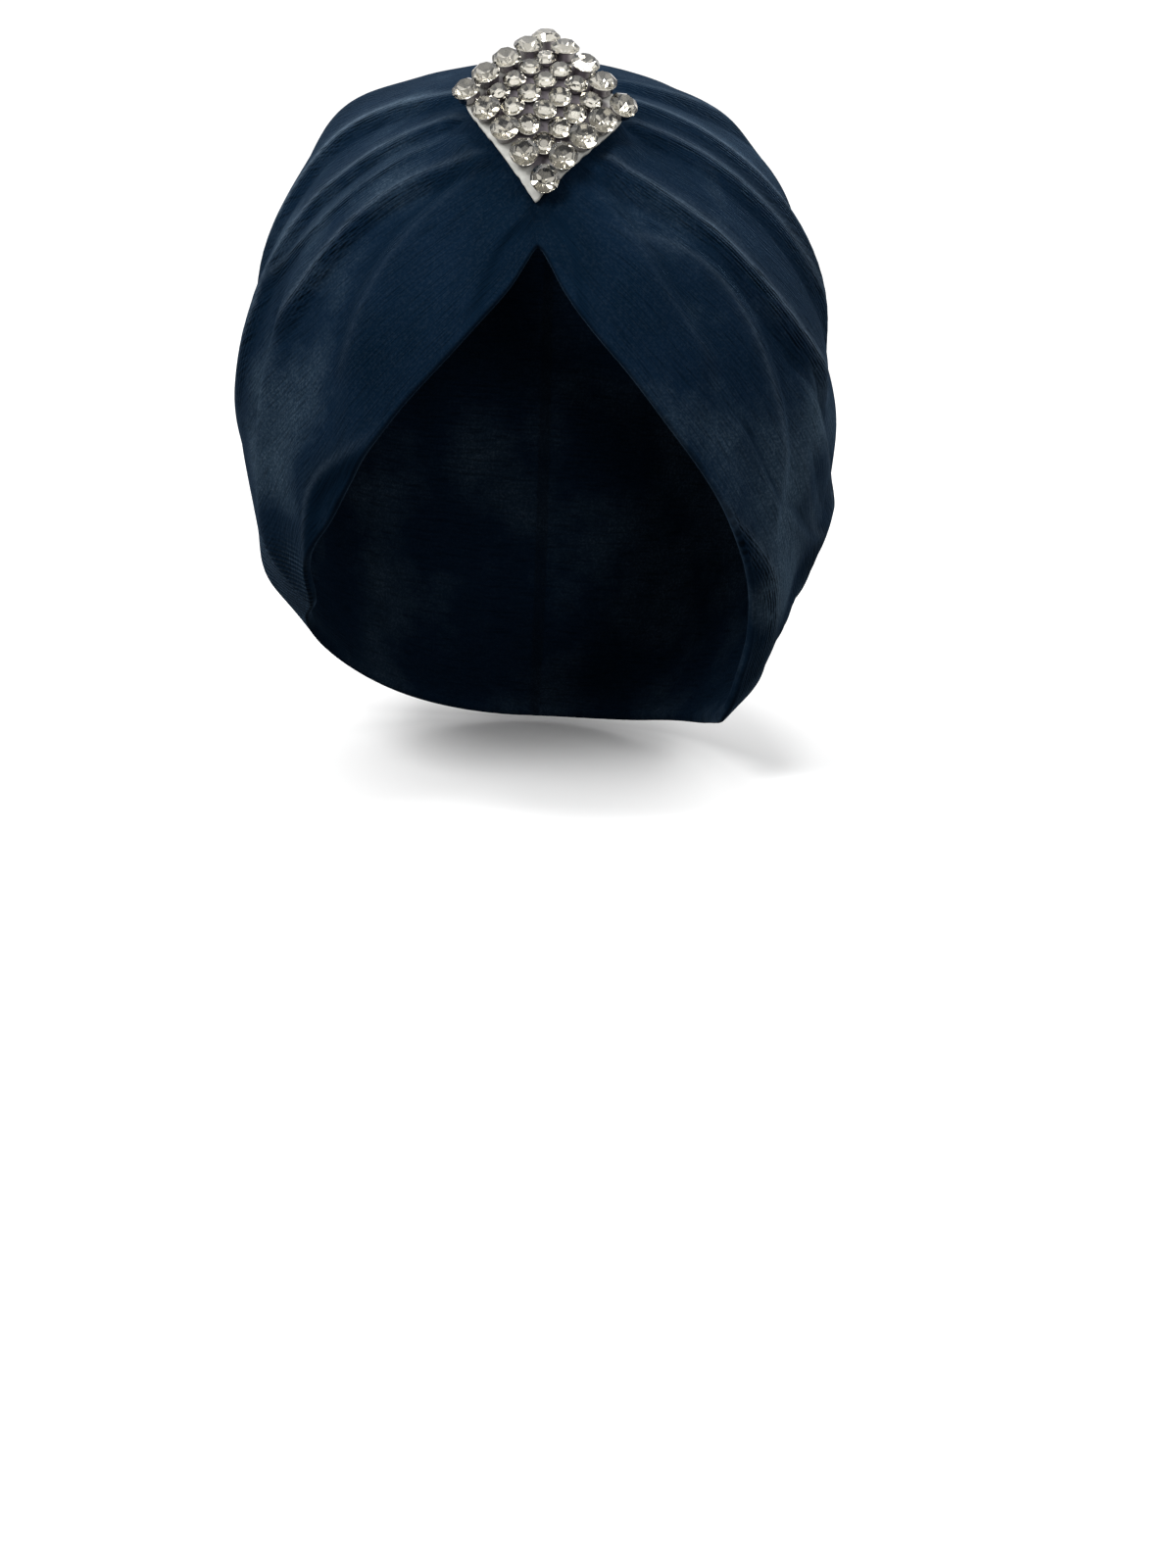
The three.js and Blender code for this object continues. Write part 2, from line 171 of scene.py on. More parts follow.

# Places where the nap is brushed pale together with painted light, or lies dark below zero together with
# painted shade, and where the ribs of the knit show, along the band or level where it is rolled under:
# degrees of the leaning frame, with their spread in millimetres.
NAP_COLUMNS = ("azimuth", "elevation", "brushed_and_shading", "ribs", "level_ribs", "spread")
NAP_PLACES = (
    (-99, -36, -1.6, 0, 1.1, 9),
    (-88, -40, -1.4, 0, 1.1, 9),
    (-84, -33, -1.4, 0, 1.1, 9),
    (-72, 30, 1, 0, 0, 9),
    (-70, -40, -1.4, 0, 1.1, 9),
    (-69, -16, 2, 0, 0, 8),
    (-62, -5, 1.7, 0, 0, 9),
    (-62, -39, -2.4, 0, 1.1, 8),
    (-58, 48, -0.8, 0, 0, 9),
    (-56, -20, 1, 0, 0, 12),
    (-55, 2, 0.5, 0, 0, 10),
    (-55, 24, 1.2, 0, 0, 7),
    (-46, -8, 1, 0, 0, 12),
    (-42, 53, -0.8, 0, 0, 9),
    (-38, 0, 0.4, 0, 0, 10),
    (-38, -23, -0.9, 0, 0, 8),
    (-38, -11, 0.4, 0, 0, 7),
    (-34, 14, -0.1, 0, 0, 8),
    (-31, 45, 0.7, 0, 0, 7),
    (-24, 26, 0.5, 0, 0, 8),
    (-23, -3, -0.8, 0, 0, 11),
    (-8, 5, 0.3, 0, 0, 6),
    (-7, 11, -1, 0, 0, 5),
    (-4, 16, -1.5, 0, 0, 7),
    (3, 17, -1.7, 0, 0, 7),
    (6, 12, -1, 0, 0, 5),
    (14, 2, -0.9, 0, 0, 10),
    (18, 17, -0.25, 0, 0, 5),
    (24, 5, 0.9, 0, 0, 8),
    (33, -5, 0.1, 0, 0, 9),
    (33, 42, 0.3, 0, 0, 8),
    (36, -14, 0.4, 0, 0, 9),
    (40, 26, -0.6, 0, 0, 9),
    (42, 8, 0.3, 0, 0, 8),
    (43, -25, 0.4, 0, 0, 7),
    (45, -12, 0.8, 0, 0, 8),
    (46, -32, 0.2, 0.3, 0, 5),
    (52, -29, 0.6, 0, 0, 8),
    (56, -20, 1.6, 0, 0, 12),
    (56, -38, 0, 0.5, 0, 6),
    (62, -6, 1.6, 0, 0, 9),
    (66, -36, 2.8, 0, 0, 8),
    (68, -36, 2.2, 0, 0, 8),
    (77, -47, -0.8, 0.7, 0, 9),
    (85, -8, 0.7, 0, 0, 10),
    (87, -30, -4, 1.2, 0, 5.5),
    (91, -38, -4, 1.2, 0, 5.5),
    (97, -53, -1.2, 0.7, 0, 9),
    (180, 0, -0.35, 0, 0, 90),
)

# Applique: a stone-set rhombus on a backing that is bent over the gather.
BEND_CENTRE_Y = -27.7
BEND_CENTRE_Z = 48.5
BEND_RADIUS = 47.5
BEND_MIDDLE = 48.4
CROSS_RADIUS = 70.0
APPLIQUE_X = 0.4
APPLIQUE_ROLL = -0.5
APPLIQUE_SKEW = 0.1
STONES_PER_EDGE = 5
INNER_PER_EDGE = 4
HALF_ACROSS = 18.6
HALF_ALONG = 23.3
INNER_SHARE = 0.6
BACKING_ACROSS = 23.0
BACKING_ALONG = 28.6
BACKING_SKEW = 0.06
BACKING_BLUNT = 0.15
BACKING_DROP = 2.0
BACKING_THICKNESS = 1.2
BACKING_GRID = 48
CLOTH_GAP = 0.55
SEAT_GAP = 0.3

# Gather: inside one ring of the rhombus the cloth meets the backing, and past another it is plain. Folds
# start to rise between two rings of their own.
GATHER_UPPER = dict(full=0.5, none=1.0, stretch=1.35)
GATHER_LOWER = dict(full=1.0, none=2.1, stretch=1.0)
FOLDS_CLEAR = (1.28, 1.6)

# Set stones: radii and heights above the backing, from the cup's foot to the cut stone's table.
OUTER_STONE = dict(foot=2.9, girdle=3.65, table=2.1, cup=2.6, rim=3.3, top=4.8)
INNER_STONE = dict(foot=2.4, girdle=2.95, table=1.7, cup=1.4, rim=1.9, top=3.1)

# Camera: where it stands from the origin, how it is turned, and the picture point that the origin falls on.
PICTURE = (1200, 1600)
CAMERA_DISTANCE = 0.900
CAMERA_AZIMUTH = 0.53
CAMERA_ELEVATION = 9.56
CAMERA_ROLL = 1.71
CAMERA_LENS = 75.2
CAMERA_SENSOR = 36.0
ORIGIN_PIXEL = (548.4, 402.9)


def rows(columns, table):
    return [dict(zip(columns, row)) for row in table]


def smoothstep(x, low, high):
    t = np.clip((x - low) / (high - low), 0, 1)
    return t * t * (3 - 2 * t)


def lerp(a, b, t):
    return a + (b - a) * t


# Smooth curve through one column of the edge table, level at the front and at the back.
def edge_value(column, azimuth):
    at = np.array([row[0] for row in EDGES], float)
    value = np.array([row[EDGE_COLUMNS.index(column)] for row in EDGES], float)
    slope = np.zeros_like(value)
    slope[1:-1] = (value[2:] - value[:-2]) / (at[2:] - at[:-2])
    i = np.clip(np.searchsorted(at, azimuth) - 1, 0, len(at) - 2)
    step = at[i + 1] - at[i]
    t = (azimuth - at[i]) / step
    s = 1 - t
    near = (1 + 2 * t) * s * s * value[i] + t * s * s * step * slope[i]
    far = t * t * (3 - 2 * t) * value[i + 1] - t * t * s * step * slope[i + 1]
    return near + far


# Unit directions from the origin at azimuths and elevations of the leaning frame, in degrees.
def direction(azimuth, elevation):
    a, e = np.radians(azimuth), np.radians(elevation)
    lean = math.radians(AXIS_LEAN)
    y, z = -np.cos(a) * np.cos(e), np.sin(e)
    leaned_y = y * math.cos(lean) + z * math.sin(lean)
    leaned_z = z * math.cos(lean) - y * math.sin(lean)
    return np.stack([np.sin(a) * np.cos(e), leaned_y, leaned_z], -1)


# Distance from the origin to the plain head form along each direction.
def head_reach(d):
    depth = np.where(d[:, 1] < 0, FRONT_REACH, BACK_REACH)
    height = np.where(d[:, 2] > 0, TOP_REACH, NAPE_REACH)
    power = np.where(d[:, 2] > 0, TOP_SQUARENESS, NAPE_SQUARENESS)
    across = np.hypot(d[:, 0] / HALF_WIDTH, d[:, 1] / depth)
    return (across**power + (np.abs(d[:, 2]) / height) ** power) ** (-1 / power)


def swelling_height(d):
    height = np.zeros(len(d))
    for s in rows(SWELLING_COLUMNS, SWELLINGS):
        centre = direction(np.array(s["azimuth"]), np.array(s["elevation"]))
        apart = np.arccos(np.clip(d @ centre, -1, 1)) * HALF_WIDTH
        height += s["height"] * np.exp(-((apart / s["spread"]) ** 2))
    return height


# Share and slope of a fold's ridge at azimuths along it; past its end it levels out while it fades.
def ridge_at(f, along):
    length = f["end_at"] - f["start_at"]
    t = np.clip((along - f["start_at"]) / length, 0, 1)
    s = 1 - t
    share = s**3 * f["start"] + 3 * t * s * (s * f["early"] + t * f["late"]) + t**3 * f["end"]
    first_half = lerp(f["early"] - f["start"], f["late"] - f["early"], t)
    second_half = lerp(f["late"] - f["early"], f["end"] - f["late"], t)
    climb = 3 * lerp(first_half, second_half, t) / length
    past = np.clip((along - f["end_at"]) / f["fade"], 0, 1)
    share = share + climb * f["fade"] * past * (1 - past / 2)
    return share, climb * (1 - past) * FOLD_WIDTH / MM_PER_DEGREE


# The folds at shares of the band's width above the hem: their height, the painted highlight near each crest,
# the painted shade on each steep side, how far it is from that fold's ridge, and how ribbed the cloth is
# there.
def fold_forms(azimuth, share):
    height, crest_highlight, under, from_ridge, ribbed, rival = np.zeros((6, len(azimuth)))
    for f in rows(FOLD_COLUMNS, FOLDS):
        along = f["side"] * azimuth
        ease = min(FOLD_START_FADE, (f["end_at"] - f["start_at"]) * FOLD_START_SHARE)
        fade = smoothstep(along, f["start_at"] - ease, f["start_at"] + ease)
        fade = fade * (1 - smoothstep(along, f["end_at"], f["end_at"] + f["fade"]))
        ridge, slope = ridge_at(f, along)
        off = (share - ridge) * FOLD_WIDTH / np.hypot(1, slope)
        gentle, steep = max(f["above"], f["below"]), min(f["above"], f["below"])
        down = -off if f["below"] <= f["above"] else off
        fall = np.clip(down / steep, 0, 1)
        form = np.where(down > 0, (1 - fall**2) ** FOLD_FOOT, np.exp(-((down / gentle) ** 2)))
        height += fade * f["height"] * form
        # Painted highlight on the crest, growing along the fold from its start.
        core = np.exp(-((down / CREST_CORE) ** 2))
        shoulder = np.where(down < 0, np.exp(-((down / CREST_SHOULDER) ** 2)), 0)
        glance = lerp(CREST_NEAR, 1, smoothstep(along, f["start_at"], f["start_at"] + CREST_GROWS))
        crest_highlight = np.maximum(crest_highlight, fade * f["crest_highlight"] * glance * np.maximum(core, SHOULDER_SHARE * shoulder))
        # Painted shade over the steep side of the fold.
        hidden = smoothstep(fall, *SHADE_STARTS) * (1 - smoothstep(down / steep, *SHADE_ENDS))
        under = np.maximum(under, fade * f["shade"] * hidden)
        beside = smoothstep(down, *RIBS_START) * (1 - smoothstep(down, *RIBS_END))
        banded = fade * f["ribs"] * glance * beside
        rival = np.maximum(rival, np.minimum(banded, ribbed))
        from_ridge = np.where(banded > ribbed, down, from_ridge)
        ribbed = np.maximum(ribbed, banded)
    return height, crest_highlight, under, from_ridge, ribbed - rival


# Applique coordinates of each direction, and how far out the backing's underside lies along it.
def backing_reach(d):
    radius = BEND_RADIUS - BACKING_THICKNESS - CLOTH_GAP
    along = d[:, 1] * BEND_CENTRE_Y + d[:, 2] * BEND_CENTRE_Z
    flat = d[:, 1] ** 2 + d[:, 2] ** 2
    apart = BEND_CENTRE_Y**2 + BEND_CENTRE_Z**2

    def solve(r):
        return (along + np.sqrt(np.maximum(along**2 - flat * (apart - r * r), 0))) / flat

    across = d[:, 0] * solve(radius) - APPLIQUE_X
    reach = solve(radius - across**2 / (2 * CROSS_RADIUS))
    bend = np.arctan2(d[:, 2] * reach - BEND_CENTRE_Z, -(d[:, 1] * reach - BEND_CENTRE_Y))
    return reach, across, (bend - math.radians(BEND_MIDDLE)) * BEND_RADIUS


# Points of the wall, in millimetres, from the share of the width above the hem, the depth below the outer
# face in shares of the wall, and the overhang past the edge. Also gives the painted crest highlights, the
# painted shade on the falls, and the ribs.
def wall_points(azimuth, share, depth, overhang):
    turn = np.abs(azimuth)
    left = azimuth < 0
    hem = np.where(left, edge_value("hem_left", turn), edge_value("hem_right", turn))
    tuck = np.where(left, edge_value("tuck_left", turn), edge_value("tuck_right", turn))
    rim = edge_value("rim", turn)
    from_hem = share * np.radians(rim - hem) * HALF_WIDTH
    d = direction(azimuth, lerp(hem, rim, share) + np.degrees(overhang / HALF_WIDTH))
    plain = head_reach(d) + swelling_height(d)
    reach, across, up = backing_reach(d)
    upper = np.clip(up / HALF_ALONG + 0.5, 0, 1)
    length = HALF_ALONG * lerp(GATHER_LOWER["stretch"], GATHER_UPPER["stretch"], upper)
    ring = np.abs(across) / HALF_ACROSS + np.abs(up) / length
    full = lerp(GATHER_LOWER["full"], GATHER_UPPER["full"], upper)
    none = lerp(GATHER_LOWER["none"], GATHER_UPPER["none"], upper)
    front = d[:, 1] < 0
    gathered = np.where(front, 1 - smoothstep(ring, full, none), 0)
    clear = np.where(front, smoothstep(ring, *FOLDS_CLEAR), 1)
    folds, crest_highlight, under, from_ridge, ribbed = fold_forms(azimuth, share)
    folds = folds * clear
    drawn = tuck * np.clip(1 - from_hem / TUCK_REACH, 0, 1) ** 2
    outer = lerp(plain, reach, gathered) - drawn
    roll = HEM_ROLL * np.exp(-((from_hem / HEM_ROLL_REACH) ** 2))
    inner = outer - WALL - roll + folds * INNER_FOLD_SHARE
    show = {
        "crest_highlight": crest_highlight * clear,
        "under": under * clear,
        "ribbed": ribbed * clear,
        "from_ridge": from_ridge,
    }
    return d * lerp(outer + folds, inner, depth)[:, None], show


# Stations once round the wall's section: up its outer face, over the rim, down inside and under the hem.
def wall_stations():
    outer = [(i / OUTER_ROWS, 0, 0) for i in range(OUTER_ROWS + 1)]
    inner = [(1 - i / INNER_ROWS, 1, 0) for i in range(INNER_ROWS + 1)]
    turns = [math.pi * k / (EDGE_ROWS + 1) for k in range(1, EDGE_ROWS + 1)]
    rim = [(1, (1 - math.cos(a)) / 2, EDGE_ROUND * math.sin(a)) for a in turns]
    hem = [(0, (1 + math.cos(a)) / 2, -EDGE_ROUND * math.sin(a)) for a in turns]
    return np.array(outer + rim + inner + hem)


# Linear colour of an sRGB hex value.
def srgb(code):
    channels = [int(code[i : i + 2], 16) / 255 for i in (1, 3, 5)]
    return [c / 12.92 if c <= 0.04045 else ((c + 0.055) / 1.055) ** 2.4 for c in channels] + [1]


def new_material(name):
    material = bpy.data.materials.new(name)
    material.use_nodes = True
    tree = material.node_tree
    return material, tree, tree.nodes["Principled BSDF"]


# Fills a node's inputs: a socket or the first output of a node is linked, and any other value is set.
def fill_inputs(tree, node, inputs):
    for name, value in inputs.items():
        if isinstance(value, bpy.types.Node):
            value = value.outputs[0]
        if isinstance(value, bpy.types.NodeSocket):
            tree.links.new(value, node.inputs[name])
        else:
            node.inputs[name].default_value = value


def add_node(tree, kind, inputs=None, **settings):
    node = tree.nodes.new(kind)
    for name, value in settings.items():
        setattr(node, name, value)
    fill_inputs(tree, node, inputs or {})
    return node


def new_piece(name, bm, *materials):
    mesh = bpy.data.meshes.new(name)
    bm.to_mesh(mesh)
    bm.free()
    for material in materials:
        mesh.materials.append(material)
    piece = bpy.data.objects.new(name, mesh)
    bpy.context.scene.collection.objects.link(piece)
    return piece


# Stretch velour: a short dense nap over a finely ribbed knit. Dark face on and pale at a glance through its
# sheen, with painted highlights along fold crests, painted shade on their steep falls and in rib grooves,
# patches brushed lighter and darker together with painted light and shade, and ribs where the cloth turns
# under. Real ribs and fibres are finer: these are drawn as coarse as they need to show. Sizes are in
# millimetres.
# Nearly black painted shade for the grooves between ribs.
GROOVE_SHADE_COLOUR = "#000810"
NAP_DEEP = "#051524"
NAP_MID = "#0a1b2c"
# Pale colour of brushed patches, and of painted light on the flanks.
NAP_BRUSHED_AND_LIT = "#2a3a48"
# Pale colour of fibre tips, and of the painted highlight along the fold crests.
NAP_TIPS_AND_HIGHLIGHT = "#75889a"
NAP_SHEEN = "#7fa3c6"
DEEP_TO_MID = (0.28, 0.56)
MID_TO_PALE = (0.55, 0.95)
PALE_MOST = 0.95
FIBRE_RANGE = (0.45, 0.8)
TIPS_ON_PALE = 0.3
TIPS_ON_DARK = 0.035
# How the painted crest highlight is broken up, and how far painted shade darkens the falls and the rib
# grooves.
HIGHLIGHT_BREAK = (0.3, 0.5)
UNDER_DARK = 0.38
GROOVE_DARK = 0.85
INSIDE_NAP = 0.3
RIB_PITCH = 0.8
LEVEL_PITCH = 1.5
RIB_DEPTH = 0.16
STREAK_LENGTH = 7.0
STREAK_FAINT = 0.5
STREAK_RANGE = (0.25, 0.75)
PATCH_SIZE = 30.0
PATCH_SWAY = 0.25
GRAIN_SIZE = 0.7
GRAIN_DEPTH = 0.15
BAND_VALUES = (
    "crest_highlight", "brushed_and_shading", "under", "rib", "along", "rib_show", "ridge", "ridge_show", "level_show",
)


# Ribs of the knit: uneven streaks along the band, with waves across it where the ribs show.
def knit_ribs(tree, cloth, at):
    drawn = add_node(tree, "ShaderNodeCombineXYZ", {"X": cloth["rib"], "Y": cloth["along"]})
    streak = add_node(
        tree, "ShaderNodeTexNoise", {"Vector": drawn, "Scale": 1.0, "Detail": 1.0, "Roughness": 0.5}
    )
    low, high = STREAK_RANGE
    uneven = add_node(
        tree, "ShaderNodeMapRange", {"Value": streak, "From Min": low, "From Max": high, "To Min": -1.0}
    )
    streaked = add_node(tree, "ShaderNodeMath", {0: cloth["ridge_show"], 1: STREAK_FAINT}, operation="ADD")
    ribs = add_node(tree, "ShaderNodeMath", {0: uneven, 1: streaked}, operation="MULTIPLY")
    height = add_node(tree, "ShaderNodeSeparateXYZ", {"Vector": at}).outputs["Z"]
    level = add_node(tree, "ShaderNodeMath", {0: height, 1: 1 / (LEVEL_PITCH * MM)}, operation="MULTIPLY")
    waves = (
        (cloth["rib"], cloth["rib_show"]),
        (cloth["ridge"], cloth["ridge_show"]),
        (level, cloth["level_show"]),
    )
    for place, shown in waves:
        phase = add_node(tree, "ShaderNodeMath", {0: place, 1: 2 * math.pi}, operation="MULTIPLY")
        wave = add_node(tree, "ShaderNodeMath", {0: phase}, operation="SINE")
        ribs = add_node(tree, "ShaderNodeMath", {0: wave, 1: shown, 2: ribs}, operation="MULTIPLY_ADD")
    return ribs


# Colour of the nap: deep to pale as it is laid and as painted light and shade set it, then fibre tips,
# painted shade on the falls, painted crest highlights and painted shade in the rib grooves.
def nap_colour(tree, cloth, at, grain, ribs):
    patch = add_node(
        tree,
        "ShaderNodeTexNoise",
        {"Vector": at, "Scale": 1 / (PATCH_SIZE * MM), "Detail": 4.0, "Roughness": 0.55},
    )
    # Brushed patches, with painted light and shade at the listed places, over a random patch noise.
    laid_and_shading = add_node(
        tree, "ShaderNodeMath", {0: cloth["brushed_and_shading"], 1: PATCH_SWAY, 2: patch}, operation="MULTIPLY_ADD"
    )
    low, high = DEEP_TO_MID
    mid = add_node(tree, "ShaderNodeMapRange", {"Value": laid_and_shading, "From Min": low, "From Max": high})
    low, high = MID_TO_PALE
    pale = add_node(
        tree, "ShaderNodeMapRange", {"Value": laid_and_shading, "From Min": low, "From Max": high, "To Max": PALE_MOST}
    )
    low, high = FIBRE_RANGE
    fibre = add_node(tree, "ShaderNodeMapRange", {"Value": grain, "From Min": low, "From Max": high})
    tips = add_node(
        tree, "ShaderNodeMath", {0: pale, 1: TIPS_ON_PALE, 2: TIPS_ON_DARK}, operation="MULTIPLY_ADD"
    )
    speck = add_node(tree, "ShaderNodeMath", {0: fibre, 1: tips}, operation="MULTIPLY")
    # Painted shade on the steep falls, mixed toward the deep colour.
    shade = add_node(tree, "ShaderNodeMath", {0: cloth["under"], 1: UNDER_DARK}, operation="MULTIPLY")
    # Painted highlight along the crests, broken up by the fibre noise.
    low, high = HIGHLIGHT_BREAK
    highlight_break = add_node(tree, "ShaderNodeMapRange", {"Value": fibre, "To Min": low, "To Max": high})
    painted_highlight = add_node(tree, "ShaderNodeMath", {0: cloth["crest_highlight"], 1: highlight_break}, operation="MULTIPLY")
    # Painted shade in the grooves between ribs.
    groove_shade = add_node(
        tree, "ShaderNodeMapRange", {"Value": ribs, "From Min": 0.0, "From Max": -1.0, "To Max": GROOVE_DARK}
    )
    layers = (
        (mid, NAP_MID),
        (pale, NAP_BRUSHED_AND_LIT),
        (speck, NAP_TIPS_AND_HIGHLIGHT),
        (shade, NAP_DEEP),
        (painted_highlight, NAP_TIPS_AND_HIGHLIGHT),
        (groove_shade, GROOVE_SHADE_COLOUR),
    )
    nap = srgb(NAP_DEEP)
    for amount, colour in layers:
        layer = add_node(tree, "ShaderNodeMix", {0: amount, 6: nap, 7: srgb(colour)}, data_type="RGBA")
        nap = layer.outputs[2]
    return nap


def stretch_velour():
    material, tree, shader = new_material("stretch_velour")
    at = add_node(tree, "ShaderNodeTexCoord").outputs["Object"]
    cloth = {}
    for name in BAND_VALUES:
        cloth[name] = add_node(tree, "ShaderNodeAttribute", attribute_name=name).outputs["Fac"]
    grain = add_node(
        tree,
        "ShaderNodeTexNoise",
        {"Vector": at, "Scale": 1 / (GRAIN_SIZE * MM), "Detail": 2.0, "Roughness": 0.7},
    )
    ribs = knit_ribs(tree, cloth, at)
    rib_bump = add_node(
        tree, "ShaderNodeBump", {"Height": ribs, "Strength": 1.0, "Distance": RIB_DEPTH * MM}
    )
    nap_bump = add_node(
        tree,
        "ShaderNodeBump",
        {"Height": grain, "Normal": rib_bump, "Strength": 0.8, "Distance": GRAIN_DEPTH * MM},
    )
    velour = {
        "Base Color": nap_colour(tree, cloth, at, grain, ribs),
        "Normal": nap_bump,
        "Roughness": 0.95,
        "Specular IOR Level": 0.02,
        "Sheen Weight": 0.16,
        "Sheen Roughness": 0.28,
        "Sheen Tint": srgb(NAP_SHEEN),
    }
    fill_inputs(tree, shader, velour)
    return material


# Trimmed backing: matt white film and felt, darker grey over the middle among the cups. Sizes are in
# millimetres.
FELT_DULL = "#a5a6a0"
FELT_WHITE = "#dddcd6"
# Darker grey over the middle of the backing, among the cups.
FELT_MIDDLE_GREY = "#6a6469"
FLECK_SIZE = 1.5
FLECK_DEPTH = 0.3


def backing_felt():
    material, tree, shader = new_material("backing_felt")
    at = add_node(tree, "ShaderNodeTexCoord").outputs["Object"]
    middle_grey = add_node(tree, "ShaderNodeAttribute", attribute_name="middle_grey").outputs["Fac"]
    fleck = add_node(
        tree, "ShaderNodeTexNoise", {"Vector": at, "Scale": 1 / (FLECK_SIZE * MM), "Detail": 4.0}
    )
    felt = srgb(FELT_DULL)
    for amount, colour in ((fleck, FELT_WHITE), (middle_grey, FELT_MIDDLE_GREY)):
        layer = add_node(tree, "ShaderNodeMix", {0: amount, 6: felt, 7: srgb(colour)}, data_type="RGBA")
        felt = layer.outputs[2]
    bump = add_node(
        tree, "ShaderNodeBump", {"Height": fleck, "Strength": 0.5, "Distance": FLECK_DEPTH * MM}
    )
    fill_inputs(tree, shader, {"Base Color": felt, "Normal": bump, "Roughness": 0.75})
    return material


# Cut lead-free crystal: clear, faintly warm, with sharp facets.
def cut_crystal():
    material, tree, shader = new_material("cut_crystal")
    crystal = {
        "Base Color": srgb("#fbfaf6"),
        "Transmission Weight": 1.0,
        "Roughness": 0.02,
        "IOR": 1.56,
    }
    fill_inputs(tree, shader, crystal)
    return material


# Silver foil on the stone's underside: a mirror with a faint warm cast.
def silver_foil():
    material, tree, shader = new_material("silver_foil")
    fill_inputs(tree, shader, {"Base Color": srgb("#cdcac2"), "Metallic": 1.0, "Roughness": 0.06})
    return material


# Plated brass cup: bright nickel, tumbled, a little dulled. The size of its worn places is in millimetres.
WEAR_SIZE = 2.0
PLATE_ROUGHNESS = (0.12, 0.35)


def nickel_plate():
    material, tree, shader = new_material("nickel_plate")
    at = add_node(tree, "ShaderNodeTexCoord").outputs["Object"]
    wear = add_node(
        tree, "ShaderNodeTexNoise", {"Vector": at, "Scale": 1 / (WEAR_SIZE * MM), "Detail": 3.0}
    )
    low, high = PLATE_ROUGHNESS
    rough = add_node(tree, "ShaderNodeMapRange", {"Value": wear, "To Min": low, "To Max": high})
    fill_inputs(tree, shader, {"Base Color": srgb("#b9b4b6"), "Metallic": 1.0, "Roughness": rough})
    return material


# Place across the ribs, in millimetres of cloth along the outer face, so that ribs crowd on steep falls.
def rib_place(turn, place, share, points, count):
    column = np.rint((turn + 1) / 2 * SECTIONS_AROUND).astype(int)
    lattice = np.zeros((SECTIONS_AROUND + 1, count + 1, 3))
    lattice[column, place] = points
    steps = np.linalg.norm(np.diff(lattice[:, : OUTER_ROWS + 1], axis=1), axis=2)
    walked = np.cumsum(np.pad(steps, ((0, 0), (1, 0))), axis=1)
    walked = walked / walked[:, -1:]
    outside = place <= OUTER_ROWS
    return FLAT_WIDTH / MM * np.where(outside, walked[column, np.minimum(place, OUTER_ROWS)], share)


# How far the nap is brushed together with painted light and shade, and how much the ribs show along the band
# and level, at points of the band.
def nap_places(points):
    outward = points / np.linalg.norm(points, axis=1)[:, None]
    shown = np.zeros((3, len(points)))
    for row in rows(NAP_COLUMNS, NAP_PLACES):
        middle = direction(np.array([row["azimuth"]]), np.array([row["elevation"]]))[0]
        apart = np.arccos(np.clip(outward @ middle, -1, 1)) * HALF_WIDTH
        near = np.exp(-((apart / row["spread"]) ** 2))
        shown += np.outer((row["brushed_and_shading"], row["ribs"], row["level_ribs"]), near)
    return shown


# The band: a grid wrapped round the wall's section and round the head, and welded along both seams.
def velour_band():
    stations = wall_stations()
    count = len(stations)
    bm = bmesh.new()
    bmesh.ops.create_grid(bm, x_segments=SECTIONS_AROUND, y_segments=count, size=1.0)
    grid = np.array([v.co[:2] for v in bm.verts])
    turn = grid[:, 0]
    azimuth = 180 * np.sign(turn) * np.abs(turn) ** FRONT_CROWDING
    place = np.rint((grid[:, 1] + 1) / 2 * count).astype(int)
    share, depth, overhang = stations[place % count].T
    points, show = wall_points(azimuth, share, depth, overhang)
    brushed_and_shading, ribbed, level = nap_places(points)
    outside = depth < 0.5
    rib = rib_place(turn, place, share, points, count)
    # The crest value is a painted highlight, under is painted shade, and brushed also carries painted light
    # and shade.
    values = {
        "crest_highlight": show["crest_highlight"] * outside,
        "under": show["under"] * outside,
        "brushed_and_shading": np.where(outside, brushed_and_shading, INSIDE_NAP),
        "rib": rib / RIB_PITCH,
        "along": azimuth * MM_PER_DEGREE / STREAK_LENGTH,
        "rib_show": np.clip(ribbed, 0, 1) * outside,
        "ridge": show["from_ridge"] / RIB_PITCH,
        "ridge_show": show["ribbed"] * outside,
        "level_show": np.clip(level, 0, 1) * outside,
    }
    layers = {name: bm.verts.layers.float.new(name) for name in values}
    for i, vert in enumerate(bm.verts):
        vert.co = points[i] * MM
        for name, layer in layers.items():
            vert[layer] = values[name][i]
    bmesh.ops.remove_doubles(bm, verts=bm.verts, dist=WELD_NEAR)
    bmesh.ops.recalc_face_normals(bm, faces=bm.faces)
    for face in bm.faces:
        face.smooth = True
    return new_piece("velour_wall", bm, stretch_velour())


